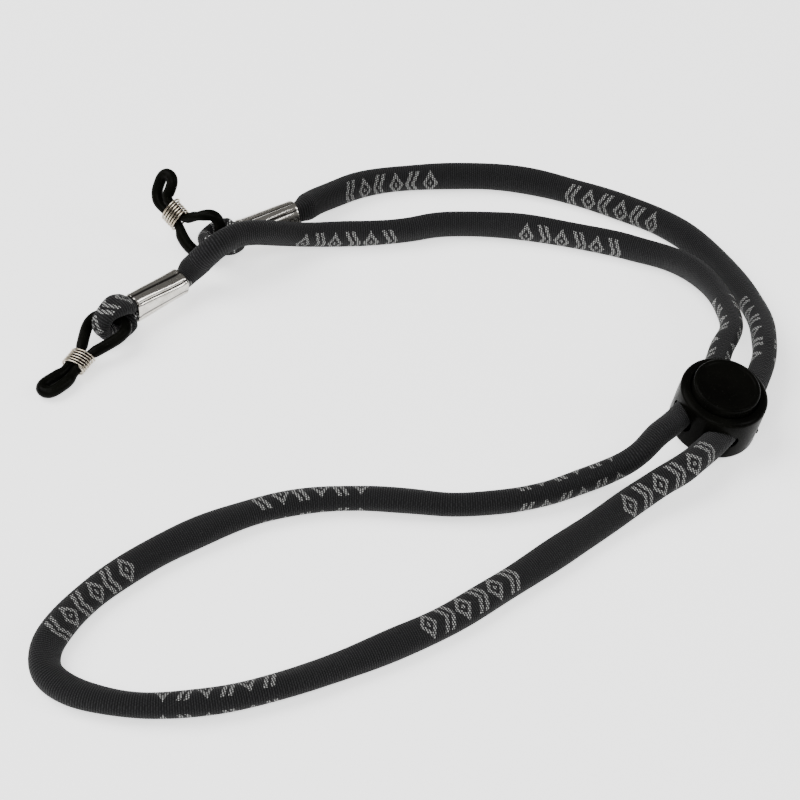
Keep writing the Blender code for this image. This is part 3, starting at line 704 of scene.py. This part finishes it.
WEAVE = make_weave()
NICKEL = make_nickel()
WIRE = make_wire()
SPRING_STEEL = make_spring_steel()
RUBBER = make_rubber()
PLASTIC = make_plastic()

# --- making the cord ---


def cord_route():
    """From inside ferrule a, through the lock, round the neck loop, back and into ferrule b."""
    inset = -FERRULE_LENGTH + CORD_INSIDE
    mouths = [[end_frame(end) @ Vector((x, 0, 0)) for x in (inset, inset - CORD_INSIDE - 1.0)]
              for _, end in ENDS]
    arc_a = [LOCK @ p for p in strand_arc(-1, ARC_HALF, 6)]
    arc_b = [LOCK @ p for p in reversed(strand_arc(1, ARC_HALF, 6))]
    route = mouths[0] + [vec(p) for p in ROUTE_A] + arc_a + [vec(p) for p in ROUTE_LOOP] + arc_b
    return route + [vec(p) for p in ROUTE_B] + mouths[1][::-1]


def motif_place(s):
    """Distance along the pattern's even repeat at a distance along the cord."""
    knots = []
    for k, start in enumerate(BLOCK_STARTS):
        knots.append((start, BLOCK_PERIOD * (k - 1)))
        knots.append((start + BLOCK_LENGTH, BLOCK_PERIOD * (k - 1) + BLOCK_LENGTH))
    for (x0, v0), (x1, v1) in zip(knots, knots[1:]):
        if s <= x1:
            return v0 + (v1 - v0) * (s - x0) / (x1 - x0)
    return knots[-1][1]


def make_cord():
    """Soft flattened tube, gripped by the ferrules and the lock, with its ribs in the mesh."""
    line = smoothed(evenly(smooth_curve(cord_route(), SPAN_POINTS), RIB / 2), CORD_SMOOTHING)
    total = sum((b - a).length for a, b in zip(line, line[1:]))
    step = total / (len(line) - 1)
    inside = LOCK.inverted()
    rings, values, path = [], [], []
    for i, centre in enumerate(line):
        s = i * step - CORD_INSIDE
        tangent = tangent_at(line, i)
        seen = (LANE_VIEW - tangent * LANE_VIEW.dot(tangent)).normalized()
        other = tangent.cross(seen)
        turn = math.radians(between(s, LANE_TURNS))
        normal = seen * math.cos(turn) + other * math.sin(turn)
        wide = tangent.cross(normal)
        free = ease((Vector((inside @ centre)[:2]).length - LOCK_HOLD) / LOCK_HOLD_FADE)
        half_wide = CORD_IN_LOCK[0] + (CORD_HALF_WIDTH - CORD_IN_LOCK[0]) * free
        half_deep = CORD_IN_LOCK[1] + (CORD_HALF_DEPTH - CORD_IN_LOCK[1]) * free
        swell = 1 + sum(size * math.sin(s / length + phase)
                        for size, length, phase in SWELLS) * free
        half_wide *= swell
        half_deep *= 1 + (swell - 1) * SWELL_IN_DEPTH
        reach = math.hypot(half_wide * wide.z, half_deep * normal.z)
        from_end = min(s, total - 2 * CORD_INSIDE - s)
        grip = ease((from_end - FERRULE_GRIP) / FERRULE_GRIP_FADE)
        lift = (reach - CORD_DIAMETER / 2) * grip * free
        place = centre + Vector((0, 0, max(lift, reach + CORD_FLOOR_GAP - centre.z)))
        place -= LOCK.col[0].to_3d() * (CORD_LEAN_IN_LOCK * (1 - free))
        end_turn = end_frame(END_A if s < total / 2 else END_B).to_3x3()
        rib = RIB_HEIGHT if i % 2 else -RIB_HEIGHT
        ring = []
        for k in range(CORD_SIDES):
            angle = math.tau * k / CORD_SIDES
            direction = normal * math.cos(angle) + wide * math.sin(angle)
            radius = radius_towards(half_deep, half_wide, math.cos(angle), math.sin(angle),
                                    CORD_SQUARENESS)
            if grip < 1:
                u, v = direction.dot(end_turn.col[1]), direction.dot(end_turn.col[2])
                size = math.hypot(u, v)
                held = radius_towards(*CORD_IN_FERRULE, u / size, v / size, FERRULE_SQUARENESS)
                radius = held + (radius - held) * grip
            ring.append(place + direction * (radius + rib))
            across = math.asin(max(-1.0, min(1.0, math.sin(angle)))) * CORD_DIAMETER / 2
            values.append((s, across, motif_place(s)))
        rings.append(ring)
        if i % CORD_PATH_EVERY == 0 or i == len(line) - 1:
            path.append(tuple(place * MM))
    mesh = skin("cord_weave", rings)
    set_attribute(mesh, "weave", values)
    outward(mesh)
    cord = piece("cord_weave", mesh, WEAVE, "root", ["cord"])


# --- making the ends of the strap ---


def make_eye(letter, end):
    """The cord's end folded back on itself: a soft flattened tube, pinched flat by the ferrule."""
    half = [(-EYE_IN_FERRULE, EYE_LEG), (-0.1, EYE_LEG), (0.9, 1.2 * EYE_LEG),
            (0.23 * EYE_REACH, 0.78 * EYE_HALF_HEIGHT), (0.47 * EYE_REACH, EYE_HALF_HEIGHT),
            (0.78 * EYE_REACH, 0.86 * EYE_HALF_HEIGHT), (0.96 * EYE_REACH, 0.45 * EYE_HALF_HEIGHT)]
    points = [Vector((x, 0, z)) for x, z in half] + [Vector((EYE_REACH, 0, 0))]
    points += [Vector((x, 0, -z)) for x, z in reversed(half)]
    line = smoothed(evenly(smooth_curve(points, SPAN_POINTS), RIB / 2), EYE_SMOOTHING)
    place = end_frame(end)
    pattern_start, pattern_aside = EYE_PATTERNS[letter]
    rings, values = [], []
    for i, centre in enumerate(line):
        tangent = tangent_at(line, i)
        out = Vector((0, 1, 0)).cross(tangent)
        share = ease((centre.x - EYE_SWELL_START) / EYE_SWELL_LENGTH)
        tip = ease((centre.x / EYE_REACH - 0.42) / 0.5)
        deep = ease(-centre.x / EYE_IN_FERRULE)
        half_wide = (EYE_AT_LIP[0] + EYE_SWELL[0] * share - EYE_TIP_SLIMMER * tip
                     - EYE_HIDDEN_SLIMMER[0] * deep)
        half_thick = EYE_AT_LIP[1] + EYE_SWELL[1] * share - EYE_HIDDEN_SLIMMER[1] * deep
        rib = EYE_RIB_HEIGHT if i % 2 else -EYE_RIB_HEIGHT
        s = i * RIB / 2
        ring = []
        for k in range(EYE_SIDES):
            angle = math.tau * k / EYE_SIDES
            u, v = superellipse(half_thick, half_wide, angle, EYE_SQUARENESS)
            crease = EYE_CREASE_DEPTH * share * max(0.0, 1 - abs(v) / EYE_CREASE_HALF)
            u -= math.copysign(crease, u)
            ring.append(place @ (centre + out * (u + math.copysign(rib, u)) + Vector((0, v, 0))))
            values.append((s, v * EYE_MARK_STRETCH - pattern_aside, s - pattern_start))
        rings.append(ring)
    mesh = skin(f"eye_{letter}_weave", rings)
    set_attribute(mesh, "weave", values)
    outward(mesh)
    piece(f"eye_{letter}_weave", mesh, WEAVE, "root", [f"cord_eye_{letter}"])


def make_ferrule(letter, end):
    """Pressed tube with rolled lips and long flutes left by the crimping tool."""
    place = end_frame(end)
    outer, inner = [], []
    for station in range(FERRULE_STATIONS + 1):
        x = -station * FERRULE_LENGTH / FERRULE_STATIONS
        blend = ease(-x / FERRULE_LENGTH)
        half_u = FERRULE_EYE_END[0] + (FERRULE_CORD_END[0] - FERRULE_EYE_END[0]) * blend
        half_v = FERRULE_EYE_END[1] + (FERRULE_CORD_END[1] - FERRULE_EYE_END[1]) * blend
        edge = min(-x, FERRULE_LENGTH + x)
        lip = LIP_HEIGHT * math.exp(-(edge / LIP_LENGTH) ** 2)
        round_off = LIP_ROUNDING * max(0.0, 1 - edge / LIP_ROUNDED) ** 2
        pressed = FLUTE_AT_LIP + (1 - FLUTE_AT_LIP) * ease((edge - 0.1) / 1.2)
        for layer, inset in ((outer, 0.0), (inner, FERRULE_WALL)):
            ring = []
            for k in range(FERRULE_SIDES):
                angle = math.tau * (k + 0.5) / FERRULE_SIDES
                u, v = superellipse(half_u - inset, half_v - inset, angle, FERRULE_SQUARENESS)
                scale, groove = 1.0, 0.0
                if layer is outer:
                    groove = (1 - abs(math.cos(FLUTES * (angle - FLUTE_START) / 2))) ** 1.5
                    dent = FLUTE_DEPTH * groove * pressed
                    size = math.hypot(u, v)
                    scale = (size + lip - round_off - dent) / size
                # Each point keeps its length, its distance round and its flute's groove; the groove
                # also sets the nickel's painted shade.
                ring.append((place @ Vector((x, u * scale, v * scale)),
                             (x, angle * FERRULE_MEAN_RADIUS, groove)))
            layer.append(ring)
    rings = outer + inner[::-1]
    mesh = skin(f"ferrule_{letter}_shell", [[point for point, _ in ring] for ring in rings],
                closed=True)
    set_attribute(mesh, "shell", [values for ring in rings for _, values in ring])
    outward(mesh, 50)
    piece(f"ferrule_{letter}_shell", mesh, NICKEL, "root", [f"ferrule_{letter}"])


def ring_outline(end):
    """Closed middle line of a rubber loop laid flat, and where its coil's travel ends."""
    lobe, lobe_half = end["lobe"], end["lobe_half"]
    coil_end = lobe + COIL_LENGTH + COIL_TRAVEL
    tip = lobe + COIL_LENGTH + TEMPLE_REACH
    half = [(0.1, 0.46 * lobe_half), (0.7, 0.8 * lobe_half), (0.19 * lobe, lobe_half),
            (0.38 * lobe, 0.97 * lobe_half), (0.62 * lobe, 0.72 * lobe_half),
            (0.82 * lobe, 0.47 * lobe_half), (0.96 * lobe, WAIST_HALF + 0.2),
            (lobe + 0.3, WAIST_HALF),
            (lobe + 0.5 * COIL_LENGTH, WAIST_HALF), (coil_end, WAIST_HALF),
            (coil_end + 1.3, 0.9 * TEMPLE_HALF), (coil_end + 2.8, TEMPLE_HALF),
            (tip - 1.3, TEMPLE_HALF), (tip - 0.4, 0.7 * TEMPLE_HALF)]
    humps = [end["hump"] * max(0.0, 1 - ((x / lobe - HUMP_MIDDLE) / HUMP_HALF) ** 2)
             for x, _ in half]
    points = [Vector((0, 0, 0))] + [Vector((x, y + rise, 0)) for (x, y), rise in zip(half, humps)]
    points += [Vector((tip, 0, 0))] + [Vector((x, -y, 0)) for x, y in reversed(half)]
    points += [Vector((0, 0, 0))]
    line = smoothed(evenly(smooth_curve(points, 12), RUBBER_STEP), RUBBER_SMOOTHING)
    return line[:-1], coil_end


def make_rubber_ring(letter, end):
    """Round rubber, thinner where the coil pinches it, with the mould's fine seam round it."""
    line, coil_end = ring_outline(end)
    place = rubber_frame(end)
    count, sides = len(line), RUBBER_SIDES
    rings = []
    for i, centre in enumerate(line):
        tangent = (line[(i + 1) % count] - line[i - 1]).normalized()
        side = Vector((0, 0, 1)).cross(tangent)
        away = max(end["lobe"] - centre.x, centre.x - coil_end, 0.0)
        radius = WAIST_RADIUS + (RUBBER_RADIUS - WAIST_RADIUS) * ease(away / WAIST_TAPER)
        ring = []
        for k in range(sides):
            angle = math.tau * k / sides
            size = radius + (RUBBER_SEAM if k in (0, sides // 2) else 0.0)
            point = centre + side * (size * math.cos(angle))
            point += Vector((0, 0, size * math.sin(angle)))
            ring.append(place @ (spine(point.x, end["bends"]) @ Vector((0, point.y, point.z))))
        rings.append(ring)
    mesh = skin(f"rubber_{letter}_ring", rings, closed=True)
    outward(mesh)
    piece(f"rubber_{letter}_ring", mesh, RUBBER, f"rubber_{letter}",
          [f"rubber_loop_{letter}"])


def wire_rings(centres, radius, sides):
    """Round sections along a wire that winds about +Z."""
    reference = Vector((0, 0, 1))
    rings = []
    last = len(centres) - 1
    for i, centre in enumerate(centres):
        tangent = tangent_at(centres, i)
        v_axis = (reference - tangent * reference.dot(tangent)).normalized()
        u_axis = v_axis.cross(tangent)
        size = radius * (WIRE_END if i in (0, last) else 1.0)
        rings.append([centre + u_axis * (size * math.cos(math.tau * k / sides))
                      + v_axis * (size * math.sin(math.tau * k / sides)) for k in range(sides)])
    return rings


def make_coil(letter, end):
    """Close-wound wire, each turn a little uneven, both its ends left standing proud."""
    along_rubber = Matrix(((0, 0, 1, 0), (1, 0, 0, 0), (0, 1, 0, 0), (0, 0, 0, 1)))
    middle = spine(end["lobe"] + COIL_LENGTH / 2, end["bends"])
    place = rubber_frame(end) @ middle @ along_rubber
    length = COIL_LENGTH - 2 * COIL_WIRE
    count = COIL_TURNS * COIL_PER_TURN
    centres = []
    for k in range(-COIL_TAILS[0], count + COIL_TAILS[1] + 1):
        turn = k / COIL_PER_TURN
        angle = math.tau * k / COIL_PER_TURN
        uneven = sum(size * math.sin(turn * pace) for size, pace in COIL_UNEVEN)
        proud = COIL_TAIL_RISES[1] * max(0, k - count) + COIL_TAIL_RISES[0] * max(0, -k)
        centres.append(Vector(((COIL_HALF_WIDTH + uneven * 0.5 + proud) * math.cos(angle),
                               (COIL_HALF_HEIGHT + uneven * 0.5 + proud) * math.sin(angle),
                               -length / 2 + length * min(max(k, 0), count) / count)))
    rings = [[place @ p for p in ring]
             for ring in wire_rings(centres, COIL_WIRE_SEEN, COIL_WIRE_SIDES)]
    mesh = skin(f"coil_{letter}_wire", rings)
    outward(mesh, 60)
    piece(f"coil_{letter}_wire", mesh, WIRE, f"coil_{letter}", [f"wire_coil_{letter}"])


# --- making the cord lock ---


def lathe(name, profile, segments):
    """A mesh in metres turned about +Z from (radius, height) points in mm."""
    build = bmesh.new()
    rings = []
    for radius, height in profile:
        if radius < 1e-6:
            rings.append([build.verts.new((0, 0, height * MM))])
            continue
        rings.append([build.verts.new((radius * MM * math.cos(math.tau * k / segments),
                                       radius * MM * math.sin(math.tau * k / segments),
                                       height * MM)) for k in range(segments)])
    for first, second in zip(rings, rings[1:]):
        for k in range(segments):
            m = (k + 1) % segments
            if len(first) == 1:
                build.faces.new((first[0], second[m], second[k]))
            elif len(second) == 1:
                build.faces.new((first[k], first[m], second[0]))
            else:
                build.faces.new((first[k], first[m], second[m], second[k]))
    mesh = bpy.data.meshes.new(name)
    bmesh.ops.recalc_face_normals(build, faces=build.faces)
    build.to_mesh(mesh)
    build.free()
    return mesh


def arc_points(centre_r, centre_h, radius_r, radius_h, start, stop, steps):
    """Points of a profile along an arc, or part of an ellipse, between two angles."""
    return [(centre_r + radius_r * math.cos(math.radians(start + (stop - start) * k / steps)),
             centre_h + radius_h * math.sin(math.radians(start + (stop - start) * k / steps)))
            for k in range(steps + 1)]


def turned(name, profile, segments):
    """A turned shape for carve()."""
    return add_object(name, lathe(name, profile, segments))


def channel(name, side, half_height, middle):
    """A stadium-shaped bar along a strand's bend, in the lock's frame."""
    flat = max(half_height - HOLE_HALF_HEIGHT, 0.0)
    section = []
    for k in range(2 * CHANNEL_SIDES):
        angle = math.pi * k / CHANNEL_SIDES
        lift = flat if math.sin(angle) >= 0 else -flat
        section.append((HOLE_HALF_WIDTH * math.cos(angle),
                        HOLE_HALF_HEIGHT * math.sin(angle) + lift))
    centres = strand_arc(side, CHANNEL_HALF, CHANNEL_STEPS, middle)
    rings = []
    for i, centre in enumerate(centres):
        tangent = tangent_at(centres, i)
        u_axis = Vector((0, 0, 1)).cross(tangent)
        rings.append([centre + u_axis * u + Vector((0, 0, v)) for u, v in section])
    return add_object(name, outward(skin(name, rings), 40))


def carve(item, cutters, joins=(), bevel=0.0):
    """The item's mesh with its unions and cuts made and its edges rounded; uses them all up."""
    for operation, others in (("UNION", joins), ("DIFFERENCE", cutters)):
        for number, other in enumerate(others):
            modifier = item.modifiers.new(f"{operation}_{number}", "BOOLEAN")
            modifier.operation = operation
            modifier.solver = "EXACT"
            modifier.object = other
    if bevel:
        modifier = item.modifiers.new("edges", "BEVEL")
        modifier.width = bevel * MM
        modifier.segments = 2
        modifier.limit_method = "ANGLE"
        modifier.angle_limit = math.radians(BEVEL_ANGLE)
        modifier.miter_outer = "MITER_ARC"
    bpy.context.view_layer.update()
    evaluated = item.evaluated_get(bpy.context.evaluated_depsgraph_get())
    mesh = bpy.data.meshes.new_from_object(evaluated)
    for other in (*cutters, *joins, item):
        bpy.data.objects.remove(other, do_unlink=True)
    return mesh


def lock_mesh(name, mesh):
    """Names a finished mesh, places it in the lock and keeps its sharp edges."""
    turn = LOCK.copy()
    turn.translation = LOCK.translation * MM
    mesh.name = name
    mesh.transform(turn)
    mesh.shade_smooth()
    mesh.set_sharp_from_angle(angle=math.radians(SHARP_ANGLE))
    return mesh


def make_cup():
    """Cup with a domed shoulder, a soft rim round the button and a hole for each strand."""
    shoulder = LOCK_RADIUS - LOCK_BORE - RIM_LAND
    profile = [(0.0, 0.0)]
    profile += arc_points(LOCK_RADIUS - CUP_CORNER, CUP_CORNER, CUP_CORNER, CUP_CORNER, -90, 0, 8)
    profile += [(LOCK_RADIUS, 4.0), (LOCK_RADIUS + CUP_BULGE, 6.5), (LOCK_RADIUS, 9.4)]
    profile += arc_points(LOCK_RADIUS - shoulder, LOCK_RIM_HEIGHT, shoulder, SHOULDER_RISE,
                          0, 84, 12)
    profile += arc_points(LOCK_BORE + RIM_EDGE, LOCK_RIM_HEIGHT + RIM_EDGE_RISE,
                          RIM_EDGE, RIM_EDGE, 84, 180, 4)
    profile += [(LOCK_BORE, LOCK_FLOOR), (0.0, LOCK_FLOOR)]
    body = turned("cup_shape", profile, CUP_SEGMENTS)
    nub = turned("nub_shape", arc_points(0, 0, GATE_HALF_WIDTH, GATE_HALF_HEIGHT, -90, 90, 10), 20)
    outwards = Vector((math.cos(GATE_ANGLE), math.sin(GATE_ANGLE), 0))
    nub.data.transform(Matrix.Translation(outwards * (LOCK_RADIUS - GATE_SUNK) * MM
                                          + Vector((0, 0, GATE_HEIGHT * MM))))
    cuts = [channel(f"cup_cut_{side:+d}", side, HOLE_HALF_HEIGHT, HOLE_HEIGHT) for side in (-1, 1)]
    mesh = lock_mesh("lock_cup", carve(body, cuts, (nub,), CUP_BEVEL))
    piece("lock_cup", mesh, PLASTIC, "lock", ["lock_body"])


def make_button():
    """Button with a dished head, a slot for each strand and a boss with the spring's bore."""
    profile = [(0.0, BUTTON_BOTTOM), (BUTTON_RADIUS - BUTTON_FOOT, BUTTON_BOTTOM),
               (BUTTON_RADIUS, BUTTON_BOTTOM + BUTTON_FOOT), (BUTTON_RADIUS, BUTTON_STRAIGHT)]
    profile += arc_points(BUTTON_RADIUS - BUTTON_EDGE, BUTTON_TOP - BUTTON_EDGE,
                          BUTTON_EDGE, BUTTON_EDGE, 0, 90, 9)
    profile += [(BUTTON_RADIUS - inset, BUTTON_TOP - drop) for inset, drop in BUTTON_DISH]
    profile += [(2.5, BUTTON_TOP - 0.10), (0.0, BUTTON_TOP - 0.08)]
    button = turned("head_shape", profile, BUTTON_SEGMENTS)
    boss_bottom, boss_top = BUTTON_BOTTOM + 0.1, BUTTON_TOP - 1.0
    boss = turned("boss_shape", [(0.0, boss_bottom), (BOSS_RADIUS, boss_bottom),
                                 (BOSS_RADIUS, boss_top), (0.0, boss_top)], 40)
    bore = turned("bore_shape", [(0.0, 0.0), (SPRING_BORE, 0.0), (SPRING_BORE, SPRING_SEAT),
                                 (0.0, SPRING_SEAT)], 32)
    low = BUTTON_BOTTOM + BAR_THICKNESS
    high = HOLE_HEIGHT + HOLE_HALF_HEIGHT + BUTTON_TRAVEL
    cuts = [channel(f"head_cut_{side:+d}", side, (high - low) / 2, (high + low) / 2)
            for side in (-1, 1)]
    slotted = add_object("slotted", carve(button, cuts))
    joined = add_object("joined", carve(slotted, (), (boss,)))
    mesh = lock_mesh("lock_button_head", carve(joined, (bore,), (), BUTTON_BEVEL))
    piece("lock_button_head", mesh, PLASTIC, "button", ["lock_button"])


def make_spring():
    """Compression spring, wound from just above the cup's floor to just below the button's spring
    seat.
    """
    start = LOCK_FLOOR + SPRING_GAP + SPRING_WIRE
    stop = SPRING_SEAT - SPRING_GAP - SPRING_WIRE
    count = SPRING_TURNS * SPRING_PER_TURN
    centres = [Vector((SPRING_RADIUS * math.cos(math.tau * k / SPRING_PER_TURN),
                       SPRING_RADIUS * math.sin(math.tau * k / SPRING_PER_TURN),
                       start + (stop - start) * k / count)) for k in range(count + 1)]
    rings = [[LOCK @ p for p in ring]
             for ring in wire_rings(centres, SPRING_WIRE, SPRING_WIRE_SIDES)]
    mesh = outward(skin("lock_spring_wire", rings), 60)
    spring = piece("lock_spring_wire", mesh, SPRING_STEEL, "lock", ["lock_spring"])
    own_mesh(spring)


# --- making the stage ---


def make_floor():
    """Pale sheet with a glow of its own, on which the strap lies."""
    n = Nodes("pale_floor")
    cloud = n.noise(3.0, 3.0)
    colour = n.mix(cloud, (0.90, 0.90, 0.895, 1), (0.93, 0.93, 0.93, 1))
    material = n.finish(colour, 0.6, Specular_IOR_Level=0.1,
                        Emission_Color=(1.0, 1.0, 1.0, 1.0), Emission_Strength=1.3)
    mesh = bpy.data.meshes.new("floor")
    corners = ((-1, -1), (1, -1), (1, 1), (-1, 1))
    mesh.from_pydata([(x * FLOOR_HALF, y * FLOOR_HALF, 0) for x, y in corners], [], [(0, 1, 2, 3)])
    mesh.materials.append(material)
    floor = add_object("floor", mesh)


def add_lamp(name, place, size, power):
    """A rectangular area lamp aimed at the strap."""
    data = bpy.data.lights.new(name, "AREA")
    data.shape = "RECTANGLE"
    data.size, data.size_y = size
    data.energy = power
    lamp = add_object(name, data)
    lamp.location = place
    lamp.rotation_euler = (LAMP_AIM - Vector(place)).to_track_quat("-Z", "Y").to_euler()


def make_lights():
    """A warm, dim surround, and the lamps."""
    world = bpy.data.worlds.new("studio")
    bpy.context.scene.world = world
    world.use_nodes = True
    background = world.node_tree.nodes["Background"]
    background.inputs["Color"].default_value = (1.0, 0.985, 0.96, 1.0)
    background.inputs["Strength"].default_value = 0.20
    for lamp in LAMPS:
        add_lamp(*lamp)


def make_camera():
    """Long lens from in front, looking down."""
    data = bpy.data.cameras.new("camera")
    data.sensor_width = CAMERA_SENSOR
    data.lens = CAMERA_LENS
    data.clip_start = 0.01
    data.clip_end = 20.0
    camera = add_object("camera", data)
    camera.matrix_world = (Matrix.Translation(CAMERA_PLACE)
                           @ Matrix.Rotation(math.radians(90.0 - CAMERA_DOWN), 4, "X")
                           @ Matrix.Rotation(math.radians(CAMERA_ROLL), 4, "Z"))
    bpy.context.scene.camera = camera


make_camera()
make_cord()
for letter, end in ENDS:
    make_ferrule(letter, end)
    make_rubber_ring(letter, end)
    make_coil(letter, end)
for letter, end in ENDS:
    make_eye(letter, end)
make_cup()
make_button()
make_spring()
make_floor()
make_lights()
